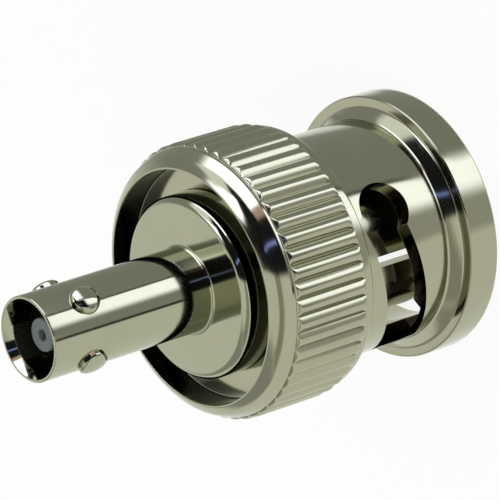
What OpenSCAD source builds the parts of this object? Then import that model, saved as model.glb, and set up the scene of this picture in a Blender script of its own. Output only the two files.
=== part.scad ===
// Coaxial adapter: a full-size bayonet plug on one end, a miniature bayonet jack on the other.
// It stands on the mouth of the plug, with its axis on Z and the jack at the top.
// Angles round the axis are measured from the front (the -Y side) towards +X.

/* [Whole adapter] */
// Length from the plug's mouth to the jack's mouth
overall_l = 25; // [23:0.5:30]
// Height of the flat face that the jack's tube rises from
shoulder_z = 15; // [14.8:0.1:17]

/* [Coupling nut] */
// Diameter over the ribs of the grip
grip_d = 14.5; // [14.3:0.1:16]
// Height of the ribs above the grip's smooth cylinder
rib_h = 0.2; // [0.1:0.05:0.3]
// Number of ribs round the grip
rib_count = 50; // [30:2:60]
// Width of one rib
rib_w = 0.44; // [0.2:0.02:0.6]
// Lowest point of the ribs
grip_z0 = 9.05; // [8.8:0.05:9.4]
// Highest point of the ribs
grip_z1 = 13.6; // [12.5:0.1:13.7]
// Height of the smooth ring under the ribs
ring_z0 = 8.4; // [8:0.1:8.7]
// Diameter of the shell that the slots are cut in
shell_d = 11.8; // [11.6:0.1:12.4]
// Diameter of the flange round the mouth
flange_d = 14; // [13:0.1:14.4]
// Thickness of the flange
flange_h = 1.85; // [1:0.05:2.2]
// Radius of the fillet between the flange and the shell
flange_fillet = 0.58; // [0.2:0.02:0.9]
// Diameter of the front bore, which passes over the mating jack
bore_d = 9.84; // [9.8:0.02:10]
// Diameter of the hollow at the back of the nut
recess_d = 12.3; // [12:0.1:12.6]
// Height of the floor of that hollow
recess_z = 13.2; // [13:0.1:13.6]
// Thickness of the web under that floor
web_h = 0.6; // [0.4:0.1:0.9]
// Height of the nut
nut_l = 14.73; // [14.5:0.01:15]

/* [Bayonet slots] */
// Width of a slot, measured along the axis
slot_w = 2.65; // [2.2:0.05:2.8]
// Rise of a slot over a quarter turn
slot_rise = 2.3; // [1.5:0.1:3]
// Angle at which a slot ends in its round hole
slot_to = 8; // [0:1:15]
// Height of the slot's centreline at its round end
slot_top_z = 6.37; // [6:0.01:6.6]
// Diameter of the round hole that the lug snaps into
detent_d = 3; // [2.4:0.1:3.2]
// Height of that hole's centre
detent_z = 5.87; // [5.6:0.01:6.2]
// Angle of the straight entry groove, whose far wall carries on the slot's square end
entry_at = -67; // [-75:1:-60]
// Width of the entry groove
entry_w = 2.2; // [2.1:0.05:2.4]
// Radius of the entry groove's floor
entry_r = 5.52; // [5.45:0.01:5.6]

/* [Plug] */
// Outer diameter of the sprung outer contact
sleeve_d = 8.1; // [8:0.05:8.2]
// Inner diameter of the sprung outer contact
sleeve_bore_d = 6.9; // [6.7:0.1:7.1]
// Depth of the sleeve's end inside the mouth of the nut
sleeve_z0 = 1.3; // [1:0.1:2]
// Width of the cuts between the spring fingers
finger_gap = 0.6; // [0.4:0.05:0.8]
// Angle of the first cut
finger_gap_at = -24.5; // [-45:0.5:45]
// Height at which the cuts end
finger_root_z = 8.2; // [7:0.1:9]
// Lower face of the plug body's collar
collar_z0 = 10.6; // [10.4:0.1:10.8]
// Upper face of the plug body's collar
collar_z1 = 11.4; // [11.3:0.05:11.5]
// Diameter of the centre pin
pin_d = 1.35; // [1.3:0.01:1.4]
// Depth of the pin's tip inside the mouth of the nut
pin_z0 = 1.9; // [1.5:0.1:3]
// Lower face of the plug's insulator
plug_ptfe_z0 = 6.5; // [6:0.1:7.5]

/* [Jack] */
// Outer diameter of the jack's tube
tube_d = 4.45; // [4.3:0.05:4.8]
// Diameter at the inner edge of the tube's end face
mouth_d = 4; // [3.8:0.05:4.1]
// Diameter of the jack's bore
jack_bore_d = 3.7; // [3.4:0.05:3.8]
// Depth of the tapered lead into the bore
lead_h = 0.5; // [0.3:0.05:0.8]
// Depth of the jack's bore
jack_bore_h = 4.8; // [4:0.1:6]
// Diameter over the tips of the lugs
lugs_d = 5.3; // [5:0.05:5.6]
// Diameter of one lug
lug_d = 1.72; // [1.2:0.02:1.9]
// Distance of the lugs' centres from the jack's mouth
lug_drop = 2.45; // [2:0.05:3]
// Angle of the first lug
lug_at = 28; // [0:1:89]
// Diameter of the insulator's stub in the jack's mouth
stub_d = 1.74; // [1.5:0.02:2]
// Depth of the stub's face inside the mouth
stub_drop = 0.85; // [0.6:0.05:1.5]
// Diameter of the shoulder that closes the back of the nut
shoulder_d = 9.56; // [9.4:0.02:9.8]
// Width of the shoulder's bevel
shoulder_bevel = 0.28; // [0.1:0.02:0.4]

/* [Inner pieces] */
// Thickness of the gasket
gasket_h = 0.75; // [0.5:0.05:1]
// Thickness of the flat washer
washer_h = 0.3; // [0.2:0.05:0.4]
// Thickness of the sheet that the wave washers are pressed from
wave_t = 0.12; // [0.1:0.01:0.15]
// Number of waves round a wave washer
wave_count = 3; // [3:1:4]

/* [Hidden] */
$fn = 96;
// Clearance between pieces that move on each other
running_gap = 0.06;
// Clearance between pieces that are pressed together
press_gap = 0.005;
// Gap between faces that meet end to end
face_gap = 0.02;
// Overlap of a cutter past the face that it cuts
past = 0.5;

grip_r = grip_d / 2;
grip_root_r = grip_r - rib_h;
shell_r = shell_d / 2;
flange_r = flange_d / 2;
bore_r = bore_d / 2;
recess_r = recess_d / 2;
web_z0 = recess_z - web_h;
// Slope of a slot where it runs round the shell
climb = atan(slot_rise / (PI / 2 * shell_r));
sleeve_r = sleeve_d / 2;
sleeve_bore_r = sleeve_bore_d / 2;
// Thicker root of the sleeve that the gasket sits on
seat_step = 0.2;
seat_lead = 0.05;
seat_r = sleeve_r + seat_step;
seat_z0 = collar_z0 - gasket_h - seat_lead;
// Hub that the nut turns on, and the jack's spigot that is pressed into it
hub_r = 3.95;
spigot_r = 3;
spigot_z0 = collar_z0 + 0.3;
tube_r = tube_d / 2;
shoulder_r = shoulder_d / 2;
jack_floor_z = overall_l - jack_bore_h;
jack_ptfe_r = 1.5;
jack_ptfe_z0 = spigot_z0;
stub_z = overall_l - stub_drop;
// Front wall of the jack's insulator, over the socket
cap_h = 0.4;
// Centre contact: the pin's root, the collar between the insulators, and the socket
root_step = 0.2;
pin_root_r = pin_d / 2 + root_step;
contact_r = 1.1;
contact_z0 = plug_ptfe_z0 + 2;
contact_z1 = jack_ptfe_z0 + 3;
socket_r = 0.5;
washer_z1 = web_z0 - face_gap;
washer_z0 = washer_z1 - washer_h;
wave_room = (washer_z0 - collar_z1) / 2;

// Turns what is drawn on +X so that it faces the given angle.
module at_angle(angle) {
    rotate([0, 0, angle - 90]) children();
}

// Height of a slot's centreline at an angle.
function slot_z(angle) = slot_top_z - slot_rise * (slot_to - angle) / 90;

// Outer form of the nut without its ribs: flange, shell, smooth ring, grip and bevelled lip.
module nut_outline() {
    edge = 0.1;
    lip_w = 0.1;
    lip_drop = 0.33;
    cone_w = 0.3;
    cone_drop = 0.98;
    difference() {
        union() {
            polygon([
                [0, 0], [flange_r - edge, 0], [flange_r, edge],
                [flange_r, flange_h - edge], [flange_r - edge, flange_h],
                [shell_r, flange_h], [shell_r, ring_z0],
                [grip_root_r - edge, ring_z0], [grip_root_r, ring_z0 + edge],
                [grip_root_r, nut_l - cone_drop], [grip_root_r - cone_w, nut_l - lip_drop],
                [recess_r + lip_w, nut_l], [0, nut_l]
            ]);
            translate([shell_r, flange_h]) square(flange_fillet);
        }
        translate([shell_r + flange_fillet, flange_h + flange_fillet]) circle(flange_fillet);
    }
}

// The ribs of the grip, with bevelled ends. With 50 of them, one rib faces the front.
module grip_ribs() {
    rib_r = rib_w / 2;
    intersection() {
        translate([0, 0, grip_z0])
            linear_extrude(grip_z1 - grip_z0)
                for (i = [0 : rib_count - 1])
                    rotate((i + 0.5) * 360 / rib_count)
                        translate([grip_r - rib_r, 0]) circle(rib_r, $fn = 24);
        rotate_extrude()
            polygon([
                [grip_root_r - rib_w, grip_z0], [grip_root_r, grip_z0], [grip_r, grip_z0 + rib_h],
                [grip_r, grip_z1 - rib_h], [grip_root_r, grip_z1], [grip_root_r - rib_w, grip_z1]
            ]);
    }
}

// One straight cut through the wall along the helix, from back to ahead of an angle.
module slot_cut(angle, back, ahead) {
    wall = 2 * (shell_r - bore_r) + past;
    width = slot_w * cos(climb);
    at_angle(angle)
        translate([shell_r, 0, slot_z(angle)])
            rotate([climb, 0, 0])
                translate([-wall / 2, -back, -width / 2]) cube([wall, back + ahead, width]);
}

// One bayonet slot: its square end, a chain of cuts along the helix, and the round hole.
module bayonet_slot() {
    steps = 17;
    turn = (slot_to - entry_at) / steps;
    half_l = shell_r * sin(turn / 2) + running_gap;
    // The slot ends just past the groove's far wall, so that no corner lies in that wall
    end_l = (entry_w / 2 + running_gap) / cos(climb) + slot_w / 2 * sin(climb);
    slot_cut(entry_at, end_l, half_l);
    for (i = [0 : steps - 1])
        slot_cut(entry_at + (i + 0.5) * turn, half_l, half_l);
    at_angle(slot_to)
        translate([bore_r - past, 0, detent_z])
            rotate([0, 90, 0]) cylinder(d = detent_d, h = shell_r - bore_r + 2 * past);
}

// The straight groove inside the wall, from the mouth to the low end of a slot.
module entry_groove() {
    at_angle(entry_at)
        intersection() {
            translate([bore_r - past, -entry_w / 2, -past])
                cube([entry_r - bore_r + past, entry_w, slot_z(entry_at) + past]);
            translate([0, 0, -past]) cylinder(r = entry_r, h = slot_top_z + slot_w);
        }
}

module coupling_nut() {
    mouth_bevel = 0.3;
    color([0.72, 0.72, 0.62])
        difference() {
            union() {
                rotate_extrude() nut_outline();
                grip_ribs();
            }
            translate([0, 0, -past]) cylinder(r = bore_r, h = web_z0 + past);
            translate([0, 0, -past])
                cylinder(r1 = bore_r + mouth_bevel + past, r2 = bore_r, h = mouth_bevel + past);
            translate([0, 0, web_z0 - past]) cylinder(r = hub_r + running_gap, h = web_h + 2 * past);
            translate([0, 0, recess_z]) cylinder(r = recess_r, h = nut_l - recess_z + past);
            for (side = [0, 180])
                rotate([0, 0, side]) {
                    bayonet_slot();
                    entry_groove();
                }
        }
}

// Section of the jack: spigot, shoulder and tube, with a small fillet at the tube's foot.
module jack_section() {
    foot = 0.18;
    edge = 0.06;
    lead = 0.1;
    difference() {
        union() {
            polygon([
                [0, spigot_z0], [spigot_r - lead, spigot_z0], [spigot_r, spigot_z0 + lead],
                [spigot_r, recess_z + face_gap], [shoulder_r, recess_z + face_gap],
                [shoulder_r, shoulder_z - shoulder_bevel],
                [shoulder_r - shoulder_bevel, shoulder_z], [tube_r, shoulder_z],
                [tube_r, overall_l - edge], [tube_r - edge, overall_l], [0, overall_l]
            ]);
            translate([tube_r, shoulder_z]) square(foot);
        }
        translate([tube_r + foot, shoulder_z + foot]) circle(foot, $fn = 48);
        polygon([
            [0, jack_floor_z], [jack_bore_d / 2, jack_floor_z],
            [jack_bore_d / 2, overall_l - lead_h], [mouth_d / 2, overall_l],
            [mouth_d / 2, overall_l + past], [0, overall_l + past]
        ]);
        translate([0, spigot_z0 - past]) square([jack_ptfe_r, jack_floor_z - spigot_z0 + 2 * past]);
    }
}

// The studs that a miniature bayonet plug locks on, with tips concentric with the tube.
module jack_lugs() {
    root = 0.3;
    intersection() {
        for (i = [0 : 3])
            at_angle(lug_at + i * 90)
                translate([tube_r - root, 0, overall_l - lug_drop])
                    rotate([0, 90, 0]) cylinder(d = lug_d, h = tube_r, $fn = 64);
        translate([0, 0, overall_l - lug_drop - lug_d])
            cylinder(d = lugs_d, h = 2 * lug_d);
    }
}

module jack_body() {
    color([0.75, 0.75, 0.66]) {
        union() {
            rotate_extrude() jack_section();
            jack_lugs();
        }
    }
}

// Section of the plug body: spring sleeve with a bead at its tip, collar and hub.
module plug_section() {
    bead = 0.05;
    tip = 0.12;
    bead_z0 = sleeve_z0 + 0.35;
    bead_z1 = sleeve_z0 + 0.8;
    bead_end = sleeve_z0 + 1.3;
    polygon([
        [sleeve_bore_r, sleeve_z0 + tip], [sleeve_bore_r + tip, sleeve_z0],
        [sleeve_r - tip, sleeve_z0], [sleeve_r + bead, bead_z0],
        [sleeve_r + bead, bead_z1], [sleeve_r, bead_end],
        [sleeve_r, seat_z0], [seat_r, seat_z0], [seat_r, collar_z0],
        [bore_r - running_gap, collar_z0], [bore_r - running_gap, collar_z1],
        [hub_r, collar_z1], [hub_r, recess_z], [spigot_r + press_gap, recess_z],
        [spigot_r + press_gap, spigot_z0], [sleeve_bore_r, spigot_z0]
    ]);
}

module plug_body() {
    color([0.66, 0.65, 0.55])
        difference() {
            rotate_extrude() plug_section();
            for (i = [0 : 3])
                at_angle(finger_gap_at + i * 90)
                    translate([sleeve_bore_r - past, -finger_gap / 2, sleeve_z0 - past])
                        cube([sleeve_r - sleeve_bore_r + 2 * past, finger_gap,
                              finger_root_z - sleeve_z0 + past]);
        }
}

module plug_insulator() {
    color([0.93, 0.92, 0.88])
        difference() {
            translate([0, 0, plug_ptfe_z0])
                cylinder(r = sleeve_bore_r - press_gap, h = spigot_z0 - plug_ptfe_z0);
            translate([0, 0, plug_ptfe_z0 - past])
                cylinder(r = pin_root_r + press_gap, h = spigot_z0 - plug_ptfe_z0 + 2 * past);
            translate([0, 0, contact_z0])
                cylinder(r = contact_r + press_gap, h = spigot_z0 - contact_z0 + past);
        }
}

module jack_insulator() {
    hole_r = 0.3;
    color([0.5, 0.53, 0.52])
        rotate_extrude()
            difference() {
                union() {
                    translate([0, jack_ptfe_z0])
                        square([jack_ptfe_r - press_gap, jack_floor_z - jack_ptfe_z0]);
                    translate([0, jack_ptfe_z0]) square([stub_d / 2, stub_z - jack_ptfe_z0]);
                }
                translate([0, jack_ptfe_z0 - past])
                    square([contact_r + press_gap, contact_z1 - jack_ptfe_z0 + past]);
                translate([0, jack_ptfe_z0])
                    square([socket_r + press_gap, stub_z - cap_h - jack_ptfe_z0]);
                translate([0, jack_ptfe_z0]) square([hole_r, overall_l]);
            }
}

// Centre contact, turned from one bar: plug pin, collar between the insulators, and jack socket.
module centre_contact() {
    tip_r = 0.25;
    tip_h = 0.8;
    socket_z = stub_z - cap_h - face_gap;
    hole_r = 0.27;
    hole_h = 3;
    drill_point = 0.15;
    slit_w = 0.12;
    slit_h = 2.2;
    color([0.85, 0.7, 0.35])
        difference() {
            rotate_extrude()
                polygon([
                    [0, pin_z0], [tip_r, pin_z0], [pin_d / 2, pin_z0 + tip_h],
                    [pin_d / 2, plug_ptfe_z0], [pin_root_r, plug_ptfe_z0],
                    [pin_root_r, contact_z0 + face_gap], [contact_r, contact_z0 + face_gap],
                    [contact_r, contact_z1 - face_gap], [socket_r, contact_z1 - face_gap],
                    [socket_r, socket_z], [hole_r, socket_z],
                    [hole_r, socket_z - hole_h], [0, socket_z - hole_h - drill_point]
                ]);
            for (side = [0, 90])
                rotate([0, 0, side])
                    translate([-socket_r - past, -slit_w / 2, socket_z - slit_h])
                        cube([2 * (socket_r + past), slit_w, slit_h + past]);
        }
}

module gasket() {
    soft = 0.2;
    lap = 0.05;
    inner_r = seat_r + running_gap / 2;
    outer_r = bore_r - 2 * running_gap;
    color([0.6, 0.16, 0.1])
        translate([0, 0, collar_z0 - gasket_h])
            rotate_extrude()
                union() {
                    translate([inner_r, soft]) square([outer_r - inner_r, gasket_h - soft]);
                    translate([inner_r + soft, 0]) square([outer_r - inner_r - 2 * soft, soft + lap]);
                    translate([inner_r + soft, soft]) circle(soft, $fn = 32);
                    translate([outer_r - soft, soft]) circle(soft, $fn = 32);
                }
}

module flat_washer() {
    color([0.7, 0.7, 0.68])
        translate([0, 0, washer_z0])
            difference() {
                cylinder(r = bore_r - running_gap, h = washer_h);
                translate([0, 0, -past]) cylinder(r = hub_r + running_gap, h = washer_h + 2 * past);
            }
}

// A spring washer pressed into waves, as a ring of plates that follow a sine.
module wave_washer(z0) {
    inner_r = hub_r + 2 * running_gap;
    outer_r = bore_r - 2 * running_gap;
    swing = (wave_room - wave_t) / 2 - face_gap;
    steps = 48;
    function wave_z(a) = z0 + wave_room / 2 + swing * sin(a * wave_count);
    color([0.55, 0.55, 0.52])
        polyhedron(
            points = [
                for (i = [0 : steps - 1])
                    let (a = i * 360 / steps)
                        for (corner = [[inner_r, -1], [outer_r, -1], [outer_r, 1], [inner_r, 1]])
                            [corner[0] * cos(a), corner[0] * sin(a), wave_z(a) + corner[1] * wave_t / 2]
            ],
            faces = [
                for (i = [0 : steps - 1])
                    let (j = (i + 1) % steps)
                        for (k = [0 : 3])
                            let (m = (k + 1) % 4)
                                for (half = [[4 * i + k, 4 * j + k, 4 * j + m],
                                             [4 * i + k, 4 * j + m, 4 * i + m]])
                                    half
            ]);
}

module wave_washer_lower() {
    wave_washer(collar_z1);
}

module wave_washer_upper() {
    wave_washer(collar_z1 + wave_room);
}

coupling_nut();
jack_body();
plug_body();
plug_insulator();
jack_insulator();
centre_contact();
gasket();
flat_washer();
wave_washer_lower();
wave_washer_upper();
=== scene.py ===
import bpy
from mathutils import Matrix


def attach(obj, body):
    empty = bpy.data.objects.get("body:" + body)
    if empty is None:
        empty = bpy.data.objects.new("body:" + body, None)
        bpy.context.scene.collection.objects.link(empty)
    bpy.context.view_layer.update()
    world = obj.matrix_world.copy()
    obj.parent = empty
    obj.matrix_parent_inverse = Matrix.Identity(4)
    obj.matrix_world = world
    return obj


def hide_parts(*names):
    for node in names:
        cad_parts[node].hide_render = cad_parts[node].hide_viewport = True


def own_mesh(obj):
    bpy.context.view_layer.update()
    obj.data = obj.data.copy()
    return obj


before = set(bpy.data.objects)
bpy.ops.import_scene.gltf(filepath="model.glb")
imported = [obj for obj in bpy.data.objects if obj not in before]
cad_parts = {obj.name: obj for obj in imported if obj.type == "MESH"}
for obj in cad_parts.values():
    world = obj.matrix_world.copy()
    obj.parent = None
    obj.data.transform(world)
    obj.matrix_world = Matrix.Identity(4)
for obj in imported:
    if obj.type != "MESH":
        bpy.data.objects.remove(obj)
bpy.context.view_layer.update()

import math

import bmesh
import bpy
import numpy as np
from mathutils import Matrix

print("frame loaded:", ", ".join(sorted(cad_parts)))

metre = 0.001  # every size below is in millimetres, and a mesh is made in metres


# Shapes

def place(angle, r, z):
    # Angle from the front (-Y) towards +X, radius and height, as (r sin angle, -r cos angle, z)
    angle, r, z = np.broadcast_arrays(np.radians(angle), r, z)
    return np.stack([r * np.sin(angle), -r * np.cos(angle), z], axis=-1)


def softened(corners, closed=False):
    # A line through corners (r, z, radius), where each corner is an arc that touches both of its sides. Seen
    # from its centre, a point of the arc is a sum of the arc's two ends, weighted by sines of the sweep
    stretches = []
    for i, (r, z, radius) in enumerate(corners):
        here = np.array([r, z])
        if radius == 0 or (not closed and i in (0, len(corners) - 1)):
            stretches.append(here[None])
            continue
        back = np.array(corners[i - 1][:2]) - here
        ahead = np.array(corners[(i + 1) % len(corners)][:2]) - here
        back, ahead = back / np.linalg.norm(back), ahead / np.linalg.norm(ahead)
        inside = math.acos(np.clip(back @ ahead, -1, 1))
        middle = (back + ahead) / np.linalg.norm(back + ahead)
        centre = here + middle * radius / math.sin(inside / 2)
        reach = radius / math.tan(inside / 2)
        start, end = here + back * reach - centre, here + ahead * reach - centre
        sweep = math.pi - inside
        steps = 2 + math.ceil(math.degrees(sweep) / 18)
        t = np.linspace(0, 1, steps)[:, None]
        arc = np.sin((1 - t) * sweep) * start + np.sin(t * sweep) * end
        stretches.append(centre + arc / math.sin(sweep))
    if closed:
        stretches.append(stretches[0][:1])
    return np.vstack(stretches)


def patch(points):
    # The quads between neighbouring rows and columns of a grid of points
    rows, columns = points.shape[:2]
    index = np.arange(rows * columns).reshape(rows, columns)
    quads = np.stack([index[:-1, :-1], index[:-1, 1:], index[1:, 1:], index[1:, :-1]], axis=-1)
    return points.reshape(-1, 3), quads.reshape(-1, 4)


def lathe(profile, columns=192):
    # A profile of (r, z) turned once round the axis
    angles = np.linspace(0, 360, columns + 1)
    return patch(place(angles[None], profile[:, :1], profile[:, 1:]))


def ringSection(inR, outR, low, high, softLow, softHigh):
    # A rectangle with softened corners, for a ring
    corners = [(inR, low, softLow), (outR, low, softLow), (outR, high, softHigh), (inR, high, softHigh)]
    return softened(corners, closed=True)


def slitAngle(width, r, share):
    # Angle at a radius in a slit with parallel sides, from one side (-1) to the other (1)
    return np.degrees(np.arcsin(width / 2 / np.maximum(r, width / 2))) * share


def fingerAngle(width, r, share):
    # Angle at a radius in the finger that follows a slit, where four slits stand a quarter turn apart
    side = slitAngle(width, r, 1)
    return side + (90 - 2 * side) * share


def makePiece(name, patches, body, node, material):
    # Joins the patches, merges the points that they share, and turns every face outwards
    starts = np.cumsum([0] + [len(points) for points, _ in patches])
    points = np.vstack([points for points, _ in patches]) * metre
    quads = np.vstack([quads + start for (_, quads), start in zip(patches, starts)])
    mesh = bpy.data.meshes.new(name)
    mesh.from_pydata(points.tolist(), [], quads.tolist())
    work = bmesh.new()
    work.from_mesh(mesh)
    bmesh.ops.remove_doubles(work, verts=work.verts, dist=2e-7)
    bmesh.ops.dissolve_degenerate(work, edges=work.edges, dist=1e-8)
    bmesh.ops.recalc_face_normals(work, faces=work.faces)
    loose = sum(not edge.is_manifold for edge in work.edges)
    work.to_mesh(mesh)
    work.free()
    mesh.shade_smooth()
    mesh.set_sharp_from_angle(angle=math.radians(30))
    mesh.materials.append(material)
    piece = bpy.data.objects.new(name, mesh)
    bpy.context.collection.objects.link(piece)
    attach(piece, body)
    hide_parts(node)
    print(name + ":", len(mesh.polygons), "faces,", loose, "open edges")
    return piece


# Finishes

def toLinear(hexColour):
    # An sRGB hex colour as linear red, green and blue, with full alpha
    channels = np.array([int(hexColour[i:i + 2], 16) for i in (1, 3, 5)]) / 255
    linear = np.where(channels <= 0.04045, channels / 12.92, ((channels + 0.055) / 1.055) ** 2.4)
    return (*linear.tolist(), 1.0)


def addNode(tree, kind, settings={}, links={}):
    # A node with its own settings, its input values and its links
    node = tree.nodes.new("ShaderNode" + kind)
    for key, value in settings.items():
        if isinstance(key, str) and hasattr(node, key):
            setattr(node, key, value)
        else:
            node.inputs[key].default_value = value
    for key, socket in links.items():
        tree.links.new(socket, node.inputs[key])
    return node


def startMaterial(name, settings):
    material = bpy.data.materials.new(name)
    material.use_nodes = True
    shader = material.node_tree.nodes["Principled BSDF"]
    for key, value in settings.items():
        shader.inputs[key].default_value = value
    return material, material.node_tree, shader


def radiusAndHeight(tree):
    where = addNode(tree, "TexCoord")
    parts = addNode(tree, "SeparateXYZ", {}, {0: where.outputs["Object"]})
    flat = addNode(tree, "CombineXYZ", {}, {"X": parts.outputs["X"], "Y": parts.outputs["Y"]})
    radius = addNode(tree, "VectorMath", {"operation": "LENGTH"}, {0: flat.outputs[0]})
    return radius.outputs["Value"], parts.outputs["Z"]


def turningMarks(tree, pitch):
    # Noise that changes along the radius and the height only, so that its lines run round the axis as tool
    # marks do
    radius, height = radiusAndHeight(tree)
    profile = addNode(tree, "CombineXYZ", {}, {"X": radius, "Z": height})
    grain = {"Scale": 1 / (pitch * metre), "Detail": 3.0}
    return addNode(tree, "TexNoise", grain, {"Vector": profile.outputs[0]})


def cloudiness(tree, size):
    # Soft patches of a real size
    where = addNode(tree, "TexCoord")
    grain = {"Scale": 1 / (size * metre), "Detail": 2.0}
    return addNode(tree, "TexNoise", grain, {"Vector": where.outputs["Object"]})


def multiplied(tree, first, second):
    return addNode(tree, "Math", {"operation": "MULTIPLY"}, {0: first, 1: second}).outputs[0]


def zone(tree, length, low, high, soft):
    # 1 where a length lies between two limits in millimetres, with soft ends
    rise = {1: (low - soft) * metre, 2: low * metre}
    fall = {1: high * metre, 2: (high + soft) * metre, 3: 1.0, 4: 0.0}
    up = addNode(tree, "MapRange", rise, {0: length})
    down = addNode(tree, "MapRange", fall, {0: length})
    return multiplied(tree, up.outputs[0], down.outputs[0])


def tinted(tree, shader, mask, darker, lighter):
    # Base colour between two hex colours, by a mask
    blend = addNode(tree, "Mix", {"data_type": "RGBA"}, {0: mask.outputs[0]})
    blend.inputs[6].default_value = toLinear(darker)
    blend.inputs[7].default_value = toLinear(lighter)
    tree.links.new(blend.outputs[2], shader.inputs["Base Color"])


def roughened(tree, shader, mask, low, high):
    spread = addNode(tree, "MapRange", {3: low, 4: high}, {0: mask.outputs[0]})
    tree.links.new(spread.outputs[0], shader.inputs["Roughness"])


def bumped(tree, shader, mask, depth):
    # A depth in millimetres
    bump = addNode(tree, "Bump", {"Strength": 1.0, "Distance": depth * metre}, {"Height": mask.outputs[0]})
    tree.links.new(bump.outputs[0], shader.inputs["Normal"])


def turnedNickel(name, darker, lighter, low, high, pitch, depth):
    # Brass turned on a lathe, then plated with bright nickel. The plate has a warm grey colour and mirrors
    # sharply, and tool marks under it draw fine lines round the axis. They are coarser than real ones, so
    # that they show
    material, tree, shader = startMaterial(name, {"Metallic": 1.0})
    marks = turningMarks(tree, pitch)
    tinted(tree, shader, cloudiness(tree, size=2.5), darker, lighter)
    roughened(tree, shader, marks, low, high)
    bumped(tree, shader, marks, depth)
    return material


nutPlate = {  # radii from and to with the softness of the ends, then heights in the same way
    # the two zones below darken the base colour: painted shade in the recess, painted dark reflection in the
    # slot
    "paintedRecessShade": ((6.11, 6.2, 0.03), (13.24, 14.6, 0.06)), "paintedRecessShadeColour": "#46463f",
    "paintedSlotReflection": ((4.97, 5.85, 0.03), (1.5, 4.6, 0.3)), "paintedSlotReflectionColour": "#2b211d",
    "ribs": ((6.92, 7.4, 0.03), (9.1, 13.5, 0.12)), "ribRoughness": 0.07,
}


def nutNickel():
    # The nut's nickel is duller on the rolled ribs. The deep wall of its recess is darker by painted shade,
    # and the slot's lower wall darker still by a painted dark reflection
    material = turnedNickel("nickelPlatedNut", "#a2a389", "#abac92",
                            low=0.07, high=0.15, pitch=0.14, depth=0.0012)
    tree = material.node_tree
    shader = tree.nodes["Principled BSDF"]
    radius, height = radiusAndHeight(tree)

    def ringZone(name):
        across, along = nutPlate[name]
        return multiplied(tree, zone(tree, radius, *across), zone(tree, height, *along))

    # painted shade and painted dark reflection: a darker base colour mixed in over each zone
    for name, colour in (("paintedRecessShade", nutPlate["paintedRecessShadeColour"]), ("paintedSlotReflection", nutPlate["paintedSlotReflectionColour"])):
        plain = shader.inputs["Base Color"].links[0].from_socket
        dark = addNode(tree, "Mix", {"data_type": "RGBA"}, {0: ringZone(name), 6: plain})
        dark.inputs[7].default_value = toLinear(colour)
        tree.links.new(dark.outputs[2], shader.inputs["Base Color"])
    smooth = shader.inputs["Roughness"].links[0].from_socket
    added = {"operation": "MULTIPLY_ADD", 1: nutPlate["ribRoughness"]}
    dull = addNode(tree, "Math", added, {0: ringZone("ribs"), 2: smooth})
    tree.links.new(dull.outputs[0], shader.inputs["Roughness"])
    return material


def goldContact():
    # Turned brass with a thin gold plate: deep yellow, soft mirror
    material, tree, shader = startMaterial("goldPlatedBrass", {"Metallic": 1.0})
    marks = turningMarks(tree, pitch=0.08)
    tinted(tree, shader, cloudiness(tree, size=1.5), "#c89c46", "#d9b25c")
    roughened(tree, shader, marks, low=0.14, high=0.24)
    bumped(tree, shader, marks, depth=0.0006)
    return material


def machinedFluoropolymer(name, darker, lighter):
    # PTFE turned from bar: waxy and slightly see-through, with a soft sheen and faint tool rings
    waxy = {"IOR": 1.38, "Subsurface Weight": 0.15, "Subsurface Scale": 0.3 * metre}
    material, tree, shader = startMaterial(name, waxy)
    marks = turningMarks(tree, pitch=0.1)
    tinted(tree, shader, cloudiness(tree, size=0.8), darker, lighter)
    roughened(tree, shader, marks, low=0.4, high=0.52)
    bumped(tree, shader, marks, depth=0.0015)
    return material


def mouldedSilicone():
    # Dark red silicone rubber, moulded: matt, with a fine even skin
    material, tree, shader = startMaterial("mouldedSilicone", {"IOR": 1.41})
    skin = cloudiness(tree, size=0.12)
    tinted(tree, shader, cloudiness(tree, size=1.0), "#6b150d", "#7d1f14")
    roughened(tree, shader, skin, low=0.5, high=0.65)
    bumped(tree, shader, skin, depth=0.002)
    return material


def rolledSpringSteel():
    # Thin hardened strip, rolled bright: cool grey with faint straight rolling lines, 0.1 mm apart
    material, tree, shader = startMaterial("rolledSpringSteel", {"Metallic": 1.0})
    where = addNode(tree, "TexCoord")
    along = addNode(tree, "Mapping", {"Scale": (1.0, 0.05, 1.0)}, {"Vector": where.outputs["Object"]})
    grain = {"Scale": 1 / (0.1 * metre), "Detail": 2.0}
    lines = addNode(tree, "TexNoise", grain, {"Vector": along.outputs[0]})
    tinted(tree, shader, cloudiness(tree, size=2.0), "#85857f", "#92928b")
    roughened(tree, shader, lines, low=0.22, high=0.34)
    bumped(tree, shader, lines, depth=0.0008)
    return material


nickelNut = nutNickel()
nickelJack = turnedNickel("nickelPlatedJack", "#a2a48a", "#abad93",
                          low=0.06, high=0.12, pitch=0.12, depth=0.0008)
nickelPlug = turnedNickel("nickelPlatedPlug", "#94957b", "#9fa087",
                          low=0.1, high=0.2, pitch=0.1, depth=0.001)
gold = goldContact()
whitePtfe = machinedFluoropolymer("machinedPtfe", "#dcd9cd", "#e3e0d5")
# its own grey PTFE colour, darkened further as painted shade for the stub deep inside the jack's mouth
greyShadedPtfe = machinedFluoropolymer("machinedPtfeGreyShaded", "#5f6968", "#6a7472")
silicone = mouldedSilicone()
springSteel = rolledSpringSteel()
print("finishes made")


# Coupling nut

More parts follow.
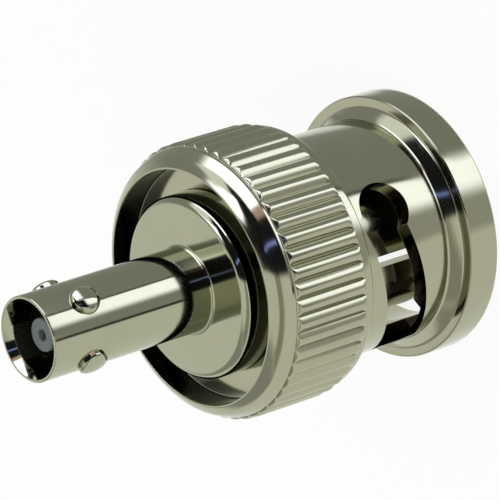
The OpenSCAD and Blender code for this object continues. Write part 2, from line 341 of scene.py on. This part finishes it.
nut = {
    "length": 14.73, "shellR": 5.9, "boreR": 4.92, "mouthBevel": 0.3,
    "flangeR": 7.0, "flangeH": 1.85, "flangeFoot": 0.55,
    "ringLow": 8.4, "ringSoft": 0.32, "gripR": 7.05,
    "ribCount": 50, "ribTopR": 7.25, "ribLow": 9.05, "ribHigh": 13.6,
    "ribShape": 0.9,  # power of the cosine that rounds a rib's back
    "ribEnd": 0.3,  # length of a rib's rounded end
    "ribSink": 0.09,  # how far the valleys sink below the smooth ring
    "lipLow": 0.98, "lipHigh": 0.33, "lipIn": 0.3, "lipTop": 0.1,  # drops and steps of the bevelled lip
    "recessR": 6.15, "recessZ": 13.2, "webLow": 12.6, "hubHoleR": 4.01,
    "slotWidth": 2.65, "slotRise": 2.3, "slotTo": 8.0, "slotTopZ": 6.37, "holeR": 1.5, "holeZ": 5.87,
    "entryAt": -67.0, "entryWidth": 2.2, "entryR": 5.52,
    "endGap": 0.06,  # how far the slot runs past the entry groove's far wall
    "halfStart": -129.0,  # where one half of the nut begins; the other half is the same, half a turn on
    "lean": 20.0,  # degrees over which the columns beside the slot's square end straighten up
    "holeLean": 1.5,  # distance over which those beside the round hole do
    "leanTop": 0.2,  # how far below the ring the square end's slant has faded
    "holeJoin": 0.25,  # distance over which the slot's upper edge runs into the round hole
    "joinWithin": 30.0,  # degrees before the hole's middle within which it may do so
    "columnRoom": 0.06,  # degrees; a rib's column that is closer to a needed one is left out
}
climb = math.atan(nut["slotRise"] / (math.pi / 2 * nut["shellR"]))


def slotHeight(angle):
    return nut["slotTopZ"] - nut["slotRise"] * (nut["slotTo"] - angle) / 90


endColumn = nut["entryAt"] - math.degrees(math.asin((nut["entryWidth"] / 2 + nut["endGap"]) / nut["shellR"]))
endLow = slotHeight(endColumn) - nut["slotWidth"] / 2
endHigh = endLow + nut["slotWidth"] * math.cos(climb) ** 2


def nutAngle(column, r, z):
    # A column's angle at a radius and height. The round hole's wall and the square end's wall are parallel
    # to a radius and not on one, so the columns beside them lean, and the end wall is square to the helix
    rWall = np.clip(r, nut["boreR"], nut["shellR"])
    y = nut["shellR"] * np.sin(np.radians(np.clip(column - nut["slotTo"], -90, 90)))
    yHole = np.clip(y, -nut["holeR"], nut["holeR"])
    lean = np.degrees(np.arcsin(yHole / rWall) - np.arcsin(yHole / nut["shellR"]))
    lean = lean * np.clip(1 - (abs(y) - nut["holeR"]) / nut["holeLean"], 0, 1)
    uprightZ = nut["ringLow"] - nut["leanTop"]
    fade = np.clip((uprightZ - z) / (uprightZ - endHigh), 0, 1)
    slant = math.tan(climb) * (np.clip(z, endLow, endHigh) - endLow) * fade
    wall = nut["entryWidth"] / 2 + nut["endGap"] + slant
    off = nut["entryAt"] - np.degrees(np.arcsin(wall / rWall)) - endColumn
    return column + lean + off * np.clip(1 - abs(column - endColumn) / nut["lean"], 0, 1)


def grooveColumn(r):
    # The column that passes through the entry groove's far wall at a radius
    off = nut["entryAt"] - math.degrees(math.asin((nut["entryWidth"] / 2 + nut["endGap"]) / r)) - endColumn
    aim = nut["entryAt"] - math.degrees(math.asin(nut["entryWidth"] / 2 / r))
    return (aim - off * (1 + endColumn / nut["lean"])) / (1 - off / nut["lean"])


def nutColumns():
    # One half of the nut: columns on every rib, at the slot's end, on the groove's walls and round the hole
    pitch = 360 / nut["ribCount"]
    acrossRib = np.array([-0.36, -0.24, -0.13, -0.04, 0.04, 0.13, 0.24, 0.36, 0.44, 0.48, 0.5, 0.52, 0.56])
    ribs = (np.arange(-20, 10)[:, None] * pitch + pitch * acrossRib).ravel()
    turn = np.radians(np.linspace(-90, 90, 29))
    hole = nut["slotTo"] + np.degrees(np.arcsin(nut["holeR"] / nut["shellR"] * np.sin(turn)))
    walls = (nut["boreR"], nut["entryR"])
    nearWall = [nut["entryAt"] + math.degrees(math.asin(nut["entryWidth"] / 2 / r)) for r in walls]
    farWall = [grooveColumn(r) for r in walls]
    halfEnd = nut["halfStart"] + 180
    special = np.concatenate([[nut["halfStart"], endColumn, halfEnd], hole, nearWall, farWall])
    inHalf = (ribs > nut["halfStart"]) & (ribs < halfEnd)
    apart = abs(ribs[:, None] - special).min(1) > nut["columnRoom"]
    return np.sort(np.concatenate([special, ribs[inHalf & apart]])), farWall[1], nearWall[1], hole[-1]


def slotEdges(column, r):
    # Lower and upper edge of the slot at a radius: a helix, joined to the round hole at its high end. Past
    # the slot's ends the two lines run on over the plain wall and meet halfway round
    half = nut["slotWidth"] / 2
    low = slotHeight(nutAngle(column, r, endLow)) - half
    high = slotHeight(nutAngle(column, r, endHigh)) + half
    y = nut["shellR"] * np.sin(np.radians(column - nut["slotTo"]))
    root = np.sqrt(np.clip(nut["holeR"] ** 2 - y ** 2, 0, None))
    past = column > nut["slotTo"]
    holeSide = abs(y) < nut["holeR"]
    lower = np.where(holeSide, np.minimum(low, nut["holeZ"] - root), low)
    low = np.where(past, nut["holeZ"] - root, lower)
    join = np.clip(1 + y / nut["holeJoin"], 0, 1)
    joined = high * (1 - join) + (nut["holeZ"] + root) * join
    high = np.where(column > nut["slotTo"] - nut["joinWithin"], joined, high)
    before = np.clip((endColumn - column) / (endColumn - nut["halfStart"]), 0, 1)
    return low + (nut["holeZ"] - low) * before, high + (nut["holeZ"] - high) * before


def ribTops(column, z):
    # Radius of the rolled ribs: round backs side by side with sharp valleys, cut off by rounded ends
    depth = nut["ribTopR"] - nut["gripR"]
    wave = abs(np.cos(np.pi * column * nut["ribCount"] / 360))
    toEnd = np.clip(np.minimum(z - nut["ribLow"], nut["ribHigh"] - z) / nut["ribEnd"], 0, 1)
    back = np.minimum(depth * wave ** nut["ribShape"], depth * np.sqrt(1 - (1 - toEnd) ** 2))
    return nut["gripR"] + back - nut["ribSink"] * toEnd * (1 - wave)


def between(start, end, rows):
    # Rows from one line of values to another
    return start + (end - start) * np.linspace(0, 1, rows)[:, None]


def level(line, rows):
    # The same line of values on every row
    return line * np.ones((rows, 1))


def couplingNut():
    # Below the slot and above it, each column is a lathe profile that starts or ends on the slot's edge
    column, grooveFrom, grooveTo, holeEnd = nutColumns()
    lowIn, highIn = slotEdges(column, nut["boreR"])
    lowOut, highOut = slotEdges(column, nut["shellR"])
    inGroove = (column >= grooveFrom - 1e-6) & (column <= grooveTo + 1e-6)
    one = np.ones_like(column)
    shell, bore, length = nut["shellR"], nut["boreR"], nut["length"]
    outerR, boreR = shell * one, bore * one
    innerR = np.where(inGroove, nut["entryR"], bore)

    footTop = nut["flangeH"] + nut["flangeFoot"]
    mouth = softened([
        (bore, nut["mouthBevel"] + 0.1, 0), (bore, nut["mouthBevel"], 0.05),
        (bore + nut["mouthBevel"], 0, 0.06), (nut["flangeR"], 0, 0.12),
        (nut["flangeR"], nut["flangeH"], 0.1), (shell + nut["flangeFoot"], nut["flangeH"], 0.25),
        (shell, footTop, 0.25), (shell, footTop + 0.12, 0)])
    lowR = np.vstack([level(innerR, 6), np.maximum(mouth[:, :1], innerR), level(outerR, 4)])
    lowZ = np.vstack([between(lowIn, mouth[0, 1] + 0.02, 6), mouth[:, 1:] * one,
                      between(footTop + 0.14, lowOut, 4)])

    toEnd = np.array([0, 0.012, 0.04, 0.09, 0.17, nut["ribEnd"]])  # closer rows at a rib's rounded ends
    ribMiddle = (nut["ribLow"] + nut["ribHigh"]) / 2
    gripZ = np.concatenate([nut["ribLow"] + toEnd, [ribMiddle], (nut["ribHigh"] - toEnd)[::-1]])
    back = softened([
        (shell, nut["ringLow"] - 0.1, 0), (shell, nut["ringLow"], 0.05),
        (nut["gripR"], nut["ringLow"], nut["ringSoft"]), *[(nut["gripR"], z, 0) for z in gripZ],
        (nut["gripR"], length - nut["lipLow"], 0.5),
        (nut["gripR"] - nut["lipIn"], length - nut["lipHigh"], 0.9),
        (nut["recessR"] + nut["lipTop"], length, 0.08), (nut["recessR"], length, 0.03),
        (nut["recessR"], nut["recessZ"], 0.1), (nut["hubHoleR"], nut["recessZ"], 0.05),
        (nut["hubHoleR"], nut["webLow"], 0.04), (bore, nut["webLow"], 0.04), (bore, nut["webLow"] - 0.1, 0)])
    backR, backZ = back[:, :1], back[:, 1:]
    onGrip = (abs(backR - nut["gripR"]) < 1e-6) & (backZ >= nut["ribLow"]) & (backZ <= nut["ribHigh"])
    ribbed = np.where(onGrip, ribTops(column, backZ), backR)
    highR = np.vstack([level(outerR, 5), ribbed, level(boreR, 5)])
    highZ = np.vstack([between(highOut, nut["ringLow"] - 0.14, 5), backZ * one,
                       between(nut["webLow"] - 0.14, highIn, 5)])

    slot = (column >= endColumn - 1e-6) & (column <= holeEnd + 1e-6)
    before = column <= endColumn + 1e-6
    beyond = column >= holeEnd - 1e-6
    grids = [(lowR, lowZ, one > 0), (highR, highZ, one > 0)]
    grids.append((between(outerR, innerR, 4), between(lowOut, lowIn, 4), slot))
    grids.append((between(outerR, boreR, 4), between(highOut, highIn, 4), slot))
    for part in (before, beyond):  # the plain wall beyond the slot
        grids.append((level(outerR, 7), between(lowOut, highOut, 7), part))
        grids.append((level(boreR, 7), between(lowIn, highIn, 7), part))

    atEnd = int(np.argmin(abs(column - endColumn)))
    across = np.linspace(0, 1, 4)
    low = lowOut[atEnd] + (lowIn[atEnd] - lowOut[atEnd]) * across
    high = highOut[atEnd] + (highIn[atEnd] - highOut[atEnd]) * across
    endZ = between(low, high, 7)
    endR = level(shell + (bore - shell) * across, 7)
    endAngle = nutAngle(column[atEnd], endR, endZ)
    patches = []
    for turn in (0, 180):
        for r, z, part in grids:
            r, z = r[:, part], z[:, part]
            patches.append(patch(place(nutAngle(column[part], r, z) + turn, r, z)))
        patches.append(patch(place(endAngle + turn, endR, endZ)))
    return makePiece("nut_plated", patches, "nut", "coupling_nut", nickelNut)


couplingNut()


# Jack: spigot, shoulder, tube and four lugs

jack = {
    "spigotR": 3.0, "spigotZ": 10.9, "seatZ": 13.22, "insulatorR": 1.5,
    "shoulderR": 4.78, "shoulderZ": 15.0, "shoulderBevel": 0.28, "bevelSoft": 0.35,
    "tubeR": 2.225, "tubeFoot": 0.18, "length": 25.0,
    "mouthR": 2.07, "leadDepth": 0.5, "boreR": 1.85, "boreZ": 20.2,
    "lugs": 4, "lugAt": 27, "lugR": 0.78, "lugTipR": 2.65, "lugRootR": 2.05, "lugDrop": 2.55,
    "lugDome": 0.26, "domePower": 2.4,  # how far a lug's tip falls off at its rim, and how sharply
}


def lug(angle):
    # A stud whose tip and root lie on cylinders round the axis. The tip falls off towards its rim as
    # 1 - sqrt(1 - share of the radius ^ power), which is a low dome with a round rim
    share = np.sin(np.radians(np.linspace(0, 90, 13)))
    across = np.concatenate([jack["lugR"] * share, [jack["lugR"], jack["lugR"] * 0.5, 0]])
    tip = jack["lugTipR"] - jack["lugDome"] * (1 - np.sqrt(np.clip(1 - share ** jack["domePower"], 0, 1)))
    out = np.concatenate([tip, np.full(3, jack["lugRootR"])])
    turn = np.radians(np.linspace(0, 360, 65))
    y = across[:, None] * np.cos(turn)
    z = jack["length"] - jack["lugDrop"] + across[:, None] * np.sin(turn)
    r = out[:, None] * np.ones_like(y)
    return patch(place(angle + np.degrees(np.arcsin(y / r)), r, z))


def jackBody():
    bevel, soft = jack["shoulderBevel"], jack["bevelSoft"]
    profile = softened([
        (jack["insulatorR"], jack["spigotZ"], 0.03), (jack["spigotR"], jack["spigotZ"], 0.1),
        (jack["spigotR"], jack["seatZ"], 0.05), (jack["shoulderR"], jack["seatZ"], 0.08),
        (jack["shoulderR"], jack["shoulderZ"] - bevel, soft),
        (jack["shoulderR"] - bevel, jack["shoulderZ"], soft),
        (jack["tubeR"], jack["shoulderZ"], jack["tubeFoot"]), (jack["tubeR"], jack["length"], 0.06),
        (jack["mouthR"], jack["length"], 0.03), (jack["boreR"], jack["length"] - jack["leadDepth"], 0.1),
        (jack["boreR"], jack["boreZ"], 0.05), (jack["insulatorR"], jack["boreZ"], 0.03)], closed=True)
    patches = [lathe(profile, 256)]
    for i in range(jack["lugs"]):
        patches.append(lug(jack["lugAt"] + 360 / jack["lugs"] * i))
    return makePiece("jack_plated", patches, "adapter", "jack_body", nickelJack)


jackBody()


# Plug body: a sleeve of four sprung fingers, with its collar and hub

plug = {
    "sleeveR": 4.05, "sleeveBoreR": 3.45, "tipZ": 1.3, "tipSoft": 0.12,
    "gapAt": -24.5, "gap": 0.6, "gapTopZ": 8.2,
    "bead": 0.05, "beadEnd": 1.3, "beadHigh": 0.8, "beadLow": 0.35,  # a swell, and its heights above the tip
    "seatR": 4.25, "seatZ": 9.8, "collarR": 4.86, "collarLow": 10.6, "collarHigh": 11.4,
    "hubR": 3.95, "hubTop": 13.2, "spigotBoreR": 3.005, "stepZ": 10.9,
}


def plugBody():
    # Each quarter is a slit, which the root closes above, and the finger that follows it
    tip, soft, gap = plug["tipZ"], plug["tipSoft"], plug["gap"]
    sleeve, bore, swell = plug["sleeveR"], plug["sleeveBoreR"], plug["sleeveR"] + plug["bead"]
    middle = (sleeve + bore) / 2
    bead = softened([
        (sleeve, tip + plug["beadEnd"], 0), (swell, tip + plug["beadHigh"], 0.3),
        (swell, tip + plug["beadLow"], 0.2), (sleeve - soft, tip, 0.1), (middle, tip, 0)])
    outer = np.vstack([[[sleeve, plug["gapTopZ"]]], bead])
    along = np.linspace(0, 1, len(outer))
    inner = np.column_stack([
        np.interp(along, [0, 0.7, 0.9, 1], [bore, bore, bore + soft, middle]),
        np.interp(along, [0, 0.7, 0.9, 1], [plug["gapTopZ"], tip + soft, tip, tip])])
    root = softened([
        (sleeve, plug["gapTopZ"], 0), (sleeve, plug["seatZ"], 0.05), (plug["seatR"], plug["seatZ"], 0.05),
        (plug["seatR"], plug["collarLow"], 0.05), (plug["collarR"], plug["collarLow"], 0.06),
        (plug["collarR"], plug["collarHigh"], 0.06), (plug["hubR"], plug["collarHigh"], 0.05),
        (plug["hubR"], plug["hubTop"], 0.06), (plug["spigotBoreR"], plug["hubTop"], 0.04),
        (plug["spigotBoreR"], plug["stepZ"], 0.04), (bore, plug["stepZ"], 0.04), (bore, plug["gapTopZ"], 0)])
    rootR, rootZ = root[:, :1], root[:, 1:]
    finger, across, through = np.linspace(0, 1, 49), np.linspace(-1, 1, 5), np.linspace(0, 1, 4)
    capR = np.linspace(sleeve, bore, 4)[:, None]
    wallR = outer[:, :1] + (inner[:, :1] - outer[:, :1]) * through
    wallZ = outer[:, 1:] + (inner[:, 1:] - outer[:, 1:]) * through
    patches = []
    for quarter in range(4):
        at = plug["gapAt"] + 90 * quarter
        for line in (outer, inner, root):
            patches.append(patch(place(at + fingerAngle(gap, line[:, :1], finger), line[:, :1], line[:, 1:])))
        patches.append(patch(place(at + slitAngle(gap, rootR, across), rootR, rootZ)))
        patches.append(patch(place(at + slitAngle(gap, capR, across), capR, plug["gapTopZ"])))
        for side in (0, 1):
            patches.append(patch(place(at + fingerAngle(gap, wallR, side), wallR, wallZ)))
    return makePiece("plug_plated", patches, "adapter", "plug_body", nickelPlug)


plugBody()


# Insulators and centre contact

inside = {
    "pinR": 0.675, "pinTipR": 0.25, "pinZ": 1.9, "pinTaper": 0.8, "plugPtfeZ": 6.5,
    "rootR": 0.875, "collarR": 1.1, "collarZ": 8.5, "collarTop": 13.9,
    "socketR": 0.5, "socketHoleR": 0.27, "socketDepth": 3.0, "slitWidth": 0.12, "slitDepth": 2.2,
    "stubR": 0.87, "stubZ": 24.15, "capH": 0.4, "faceHoleR": 0.3,
    "drillCone": 0.15,  # height of the cone in which the socket's hole ends
    "gap": 0.02, "press": 0.005,  # room at the contact's ends, and overlap where a part is pressed in
}


def plugInsulator():
    outR, low, high = plug["sleeveBoreR"] - inside["press"], inside["plugPtfeZ"], plug["stepZ"]
    rootR, collarR = inside["rootR"] + inside["press"], inside["collarR"] + inside["press"]
    profile = softened([
        (rootR, low, 0.06), (outR, low, 0.1), (outR, high, 0.04), (collarR, high, 0.03),
        (collarR, inside["collarZ"], 0.03), (rootR, inside["collarZ"], 0.03)], closed=True)
    return makePiece("plug_ptfe", [lathe(profile)], "adapter", "plug_insulator", whitePtfe)


def jackInsulator():
    outR, low = jack["insulatorR"] - inside["press"], jack["spigotZ"]
    collarR, socketR = inside["collarR"] + inside["press"], inside["socketR"] + inside["press"]
    capZ = inside["stubZ"] - inside["capH"]
    profile = softened([
        (collarR, low, 0.03), (outR, low, 0.03), (outR, jack["boreZ"], 0.03),
        (inside["stubR"], jack["boreZ"], 0.05), (inside["stubR"], inside["stubZ"], 0.07),
        (inside["faceHoleR"], inside["stubZ"], 0.06), (inside["faceHoleR"], capZ, 0.02),
        (socketR, capZ, 0.02), (socketR, inside["collarTop"], 0.03),
        (collarR, inside["collarTop"], 0.03)], closed=True)
    return makePiece("jack_ptfe", [lathe(profile)], "adapter", "jack_insulator", greyShadedPtfe)


def centreContact():
    # A solid pin and collar, whose top is cut by two crossed slits into the four tines of a socket
    top = inside["stubZ"] - inside["capH"] - inside["gap"]
    slitZ, floorZ = top - inside["slitDepth"], top - inside["socketDepth"]
    lowCollar, highCollar = inside["collarZ"] + inside["gap"], inside["collarTop"] - inside["gap"]
    socket, hole, width = inside["socketR"], inside["socketHoleR"], inside["slitWidth"]
    solid = softened([
        (0, inside["pinZ"], 0), (inside["pinTipR"], inside["pinZ"], 0.1),
        (inside["pinR"], inside["pinZ"] + inside["pinTaper"], 0.5),
        (inside["pinR"], inside["plugPtfeZ"], 0.03),
        (inside["rootR"], inside["plugPtfeZ"], 0.03), (inside["rootR"], lowCollar, 0.03),
        (inside["collarR"], lowCollar, 0.04), (inside["collarR"], highCollar, 0.04),
        (socket, highCollar, 0.03), (socket, slitZ, 0)])
    bottom = np.array([[hole, slitZ], [hole, floorZ], [0, floorZ - inside["drillCone"]]])
    tine = np.array([[socket, slitZ], [socket, top], [hole, top], [hole, slitZ]])
    tineR, tineZ = tine[:, :1], tine[:, 1:]
    capR = np.array([[socket], [hole]])
    wallR, wallZ = np.array([[socket, hole]] * 2), np.array([[slitZ] * 2, [top] * 2])
    finger, across = np.linspace(0, 1, 13), np.linspace(-1, 1, 3)
    patches = []
    for at in (0, 90, 180, 270):
        for line in (solid, bottom):
            clipped = np.maximum(line[:, :1], hole)  # nearer the axis the angles are those at the hole's wall
            patches.append(patch(place(at + fingerAngle(width, clipped, finger), line[:, :1], line[:, 1:])))
            patches.append(patch(place(at + slitAngle(width, clipped, across), line[:, :1], line[:, 1:])))
        patches.append(patch(place(at + fingerAngle(width, tineR, finger), tineR, tineZ)))
        patches.append(patch(place(at + slitAngle(width, capR, across), capR, slitZ)))
        for side in (0, 1):
            patches.append(patch(place(at + fingerAngle(width, wallR, side), wallR, wallZ)))
    return makePiece("contact_gold", patches, "adapter", "centre_contact", gold)


plugInsulator()
jackInsulator()
centreContact()


# Gasket and washers

rings = {
    "gasketInR": 4.28, "gasketOutR": 4.8, "gasketZ": 9.85, "gasketH": 0.75,
    "gasketSoft": 0.2, "gasketEdge": 0.03,  # radii of its lower and upper edges
    "washerInR": 4.01, "washerOutR": 4.86, "washerZ": 12.28, "washerH": 0.3, "washerSoft": 0.04,
    "waveInR": 4.07, "waveOutR": 4.8, "waveZ": 11.4, "waveRoom": 0.44, "waveT": 0.12, "waveSoft": 0.03,
    "waves": 3, "waveSwing": 0.14,
    "pressed": 0.43,  # share of their height that the two wave washers keep when the nut is pulled
}


def gasket():
    low, high = rings["gasketZ"], rings["gasketZ"] + rings["gasketH"]
    profile = ringSection(rings["gasketInR"], rings["gasketOutR"], low, high,
                          rings["gasketSoft"], rings["gasketEdge"])
    return makePiece("gasket_rubber", [lathe(profile)], "adapter", "gasket", silicone)


def flatWasher():
    low, high, soft = rings["washerZ"], rings["washerZ"] + rings["washerH"], rings["washerSoft"]
    profile = ringSection(rings["washerInR"], rings["washerOutR"], low, high, soft, soft)
    ring = lathe(profile)
    return makePiece("washer_steel", [ring], "thrust_washer", "flat_washer", springSteel)


def waveWasher(name, node, low):
    # A ring whose height follows a sine as it goes round, with softened edges
    half, soft = rings["waveT"] / 2, rings["waveSoft"]
    section = ringSection(rings["waveInR"], rings["waveOutR"], -half, half, soft, soft)
    angles = np.linspace(0, 360, 193)[None]
    wave = rings["waveSwing"] * np.sin(np.radians(angles - 90) * rings["waves"])
    middle = low + rings["waveRoom"] / 2
    ring = patch(place(angles, section[:, :1], middle + wave + section[:, 1:]))
    piece = makePiece(name, [ring], "adapter", node, springSteel)
    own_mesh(piece)
    return piece


gasket()
flatWasher()
waveWasher("wave_lower_steel", "wave_washer_lower", rings["waveZ"])
waveWasher("wave_upper_steel", "wave_washer_upper", rings["waveZ"] + rings["waveRoom"])


# Studio: camera, floor, light, and cards that carry painted reflections

camera = {
    "tilt": 53.33, "roll": 17.52, "lens": 341.1, "sensor": 36.0,
    "aimZ": 14.449, "away": 239.21, "across": -2.842, "down": 1.858,
}


def addCamera():
    tilt, roll = math.radians(camera["tilt"]), math.radians(camera["roll"])
    ahead = np.array([0, math.sin(tilt), -math.cos(tilt)])
    right = np.array([-math.sin(roll), -math.cos(tilt) * math.cos(roll), -math.sin(tilt) * math.cos(roll)])
    down = np.cross(ahead, right)
    aim = np.array([0, 0, camera["aimZ"]])
    where = aim - camera["away"] * ahead - camera["across"] * right - camera["down"] * down
    lens = bpy.data.cameras.new("camera")
    lens.lens, lens.sensor_width, lens.clip_start = camera["lens"], camera["sensor"], 0.01
    seen = bpy.data.objects.new("camera", lens)
    turned = Matrix(np.column_stack([right, -down, -ahead]).tolist()).to_4x4()
    seen.matrix_world = Matrix.Translation((where * metre).tolist()) @ turned
    bpy.context.collection.objects.link(seen)
    bpy.context.scene.camera = seen


studio = {
    "floorR": 600.0, "floorDrop": 0.02, "floorGlow": 0.9, "worldLight": 0.8,
    "lampAt": (-90, -120, 170), "lampAim": (0, 0, 12.0), "lampSize": 120, "lampPower": 0.12,
    "cardInner": 7.08, "cardOuter": 450.0, "cardDrop": 0.01,
    "nearFloor": 50.0, "farFloor": 75.0,  # between these radii the painted floor reflection fades to the painted room reflection
}

# Painted reflections: patches of light and dark on a sphere that only the metal's reflections see
paintedRoomPatches = {  # azimuths from and to with the softness of both ends, then elevations in the same way, then light
    "greySide": ((104, 150, 8, 30), (-90, 91, 1, 1), (0.42, 0.42, 0.42)),
    "behindLeft": ((-165, -95, 20, 20), (15, 60, 10, 10), (0.45, 0.45, 0.45)),
    "leftWall": ((-95, -12, 12, 8), (22, 48, 10, 8), (0.45, 0.45, 0.42)),
    "darkAbove": ((-12, 100, 6, 6), (24, 80, 6, 6), (0.015, 0.015, 0.02)),
    "darkFront": ((-12, 46, 6, 6), (-90, 30, 1, 6), (0.015, 0.015, 0.02)),
    "window": ((44, 100, 3, 10), (-90, 23, 1, 5), (3.2, 3.2, 4.3)),
    "highWindow": ((68, 112, 4, 8), (46, 68, 4, 5), (3.2, 3.2, 4.3)),
    "paleWall": ((78, 108, 8, 8), (18, 50, 4, 4), (1.45, 1.45, 1.6)),
    "pinkEdge": ((35, 44, 4, 3), (-90, 22, 1, 6), (0.85, 0.58, 0.58)),
    "blueLine": ((12, 15, 1.5, 1.5), (8, 56, 4, 8), (0.5, 0.6, 1.7)),
}

paintedFloorReflection = {  # angles of the mirroring wall from and to, and the painted reflection that it shows there
    "front": (-13, 5), "frontLight": 0.58, "tubeFrontLight": 0.42,
    "tubeLine": (-13.5, -10.5), "tubeLineLight": 0.04,
    "stripe": (4, 20), "stripeLight": (2.4, 2.4, 2.9),
    "top": (20, 80), "topLight": (0.38, 0.4, 0.38),
    "topLine": (19.6, 21.8), "topLineLight": 0.12,
}


def band(x, low, high, softLow, softHigh):
    # 1 between two values and 0 outside them, with soft steps 3 t^2 - 2 t^3
    up = np.clip((x - low) / softLow + 0.5, 0, 1)
    down = np.clip((high - x) / softHigh + 0.5, 0, 1)
    return (up * up * (3 - 2 * up) * down * down * (3 - 2 * down))[..., None]


def painted(light, mask, colour):
    return light * (1 - mask) + np.array(colour) * mask


def paintedRoomLight(azimuth, elevation):
    # Painted reflection that the metal mirrors: a room with a dark side towards the camera, a window to its
    # right, pale walls
    light = np.ones(np.broadcast(azimuth, elevation).shape + (3,))
    for across, up, colour in paintedRoomPatches.values():
        light = painted(light, band(azimuth, *across) * band(elevation, *up), colour)
    return light


def paintedFloorLight(azimuth, r):
    # Painted reflection on the floor card, by the angle of the wall that mirrors it. A wall mirrors the floor
    # at about twice its own angle, and at less than that close to the wall
    share = np.interp(r, [7, 8.3, 12, 21, 30], [0.5, 0.58, 0.77, 0.87, 0.97])
    wall = azimuth / (2 * share)
    edge = np.interp(r, [8.5, 11], [9, 1.5])  # the flange's rim mirrors the stripe with softer edges
    tube = np.clip((r - 22) / 4, 0, 1)[..., None]  # this far out only the thin tube mirrors the floor
    beyondRim = np.clip((r - 9) / 2, 0, 1)[..., None]
    seen = paintedFloorReflection
    light = np.ones(np.broadcast(azimuth, r).shape + (3,))
    light = painted(light, band(wall, *seen["front"], 5, 3), seen["frontLight"])
    light = painted(light, band(wall, *seen["front"], 2, 3) * tube, seen["tubeFrontLight"])
    light = painted(light, band(wall, *seen["tubeLine"], 1, 1) * tube, seen["tubeLineLight"])
    light = painted(light, band(wall, *seen["stripe"], 9, edge), seen["stripeLight"])
    light = painted(light, band(wall, *seen["top"], edge, 14), seen["topLight"])
    light = painted(light, band(wall, *seen["topLine"], 0.8, 0.8) * beyondRim, seen["topLineLight"])
    far = np.clip((r - studio["nearFloor"]) / (studio["farFloor"] - studio["nearFloor"]), 0, 1)[..., None]
    return light * (1 - far) + paintedRoomLight(azimuth, np.full_like(r, -4.0)) * far


def addCard(name, grid, light):
    # A sheet that only the metal's reflections see. It lights nothing, the camera looks through it, and it
    # is cut away where it would show no more than the plain floor and walls
    points, quads = patch(grid)
    light = light.reshape(-1, 3)
    drawn = abs(light - 1).max(1) > 0.01
    quads = quads[drawn[quads].any(1)]
    mesh = bpy.data.meshes.new(name)
    mesh.from_pydata((points * metre).tolist(), [], quads.tolist())
    colours = np.column_stack([light, np.ones(len(light))])
    mesh.color_attributes.new("light", "FLOAT_COLOR", "POINT").data.foreach_set("color", colours.ravel())
    material = bpy.data.materials.new(name)
    material.use_nodes = True
    tree = material.node_tree
    tree.nodes.clear()
    stored = addNode(tree, "Attribute", {"attribute_name": "light"})
    glow = addNode(tree, "Emission", {"Strength": 1.0}, {"Color": stored.outputs["Color"]})
    addNode(tree, "OutputMaterial", {}, {"Surface": glow.outputs[0]})
    mesh.materials.append(material)
    card = bpy.data.objects.new(name, mesh)
    bpy.context.collection.objects.link(card)
    card.visible_camera = card.visible_diffuse = card.visible_shadow = False


def addCards():
    # One is a sphere round the object, the other a disc just above the floor
    azimuth = np.arange(-180, 180.1, 1.0)[None]
    elevation = np.arange(-4, 90.1, 1.0)[:, None]
    reach = studio["cardOuter"]
    sphere = place(azimuth, reach * np.cos(np.radians(elevation)), reach * np.sin(np.radians(elevation)))
    addCard("roomReflectionCard", sphere, paintedRoomLight(azimuth, elevation))
    r = np.geomspace(studio["cardInner"], reach, 90)[:, None] * np.ones_like(azimuth)
    disc = place(azimuth, r, -studio["cardDrop"])
    addCard("floorReflectionCard", disc, paintedFloorLight(azimuth * np.ones_like(r), r))


def seenDirectly(tree):
    # 1 for the camera and for what metal or glass mirrors, 0 for the light that falls on things
    path = addNode(tree, "LightPath").outputs
    larger = {"operation": "MAXIMUM"}
    two = addNode(tree, "Math", larger, {0: path["Is Camera Ray"], 1: path["Is Glossy Ray"]})
    return addNode(tree, "Math", larger, {0: two.outputs[0], 1: path["Is Transmission Ray"]}).outputs[0]


def addFloor():
    half, z = studio["floorR"] * metre, -studio["floorDrop"] * metre
    corners = [(-half, -half, z), (half, -half, z), (half, half, z), (-half, half, z)]
    mesh = bpy.data.meshes.new("floor")
    mesh.from_pydata(corners, [], [(0, 1, 2, 3)])
    paper = {"Base Color": toLinear("#f4f4f2"), "Roughness": 0.9}
    material, tree, shader = startMaterial("palePaper", paper)
    glow = addNode(tree, "Emission", {"Color": (1, 1, 1, 1), "Strength": 1.0})
    share = addNode(tree, "Math", {"operation": "MULTIPLY", 1: studio["floorGlow"]}, {0: seenDirectly(tree)})
    both = addNode(tree, "MixShader", {}, {0: share.outputs[0], 1: shader.outputs[0], 2: glow.outputs[0]})
    tree.links.new(both.outputs[0], tree.nodes["Material Output"].inputs["Surface"])
    mesh.materials.append(material)
    floor = bpy.data.objects.new("floor", mesh)
    bpy.context.collection.objects.link(floor)


def addWorld():
    world = bpy.data.worlds.new("whiteStudio")
    bpy.context.scene.world = world
    world.use_nodes = True
    tree = world.node_tree
    strength = addNode(tree, "MapRange", {3: studio["worldLight"], 4: 1.0}, {0: seenDirectly(tree)})
    tree.links.new(strength.outputs[0], tree.nodes["Background"].inputs["Strength"])
    tree.nodes["Background"].inputs["Color"].default_value = (1, 1, 1, 1)


def addLamp():
    # A square lamp that faces the middle of the object
    lamp = bpy.data.lights.new("keyLight", "AREA")
    lamp.shape, lamp.size, lamp.energy = "SQUARE", studio["lampSize"] * metre, studio["lampPower"]
    box = bpy.data.objects.new("keyLight", lamp)
    box.rotation_mode = "QUATERNION"
    box.location = [value * metre for value in studio["lampAt"]]
    away = np.array(studio["lampAt"]) - np.array(studio["lampAim"])
    back = away / np.linalg.norm(away)
    side = np.cross([0, 0, 1], back)
    side = side / np.linalg.norm(side)
    turned = Matrix(np.column_stack([side, np.cross(back, side), back]).tolist())
    box.rotation_quaternion = turned.to_quaternion()
    box.visible_glossy = False  # the metal mirrors the cards instead
    bpy.context.collection.objects.link(box)


addCamera()
addFloor()
addWorld()
addLamp()
addCards()
print("studio made")

scene = bpy.context.scene
scene.view_settings.view_transform = "Standard"
